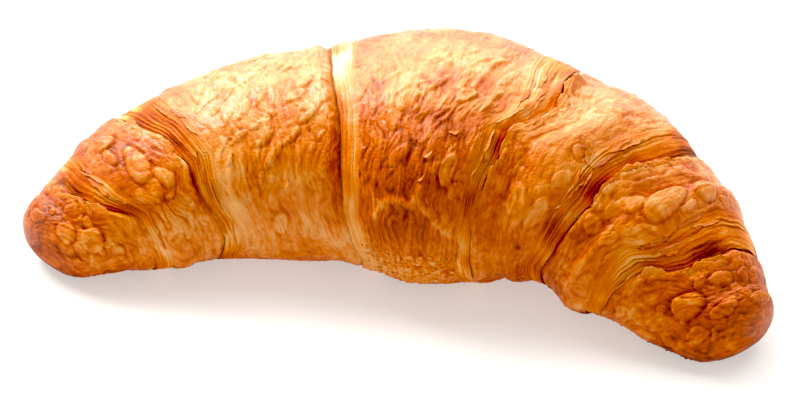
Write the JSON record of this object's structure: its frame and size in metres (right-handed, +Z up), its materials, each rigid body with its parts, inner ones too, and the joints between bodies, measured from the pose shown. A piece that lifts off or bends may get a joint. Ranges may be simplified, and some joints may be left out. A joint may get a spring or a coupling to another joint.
{
  "type": "butter croissant",
  "caption": "Crescent-shaped butter croissant of rolled layered dough with a blistered golden crust, resting on its flat underside.",
  "frame": {"origin": "on the surface it rests on, under the middle of the croissant's length and depth", "axes": "+X along the croissant's length, towards its right horn; +Z up; the horns bend forwards to -Y"},
  "size_m": [0.1772, 0.0728, 0.0504],
  "materials": {
    "crust": "golden brown baked crust, satin with an egg wash"
  },
  "bodies": {
    "root": {"croissant": "crust"}
  },
  "joints": []
}
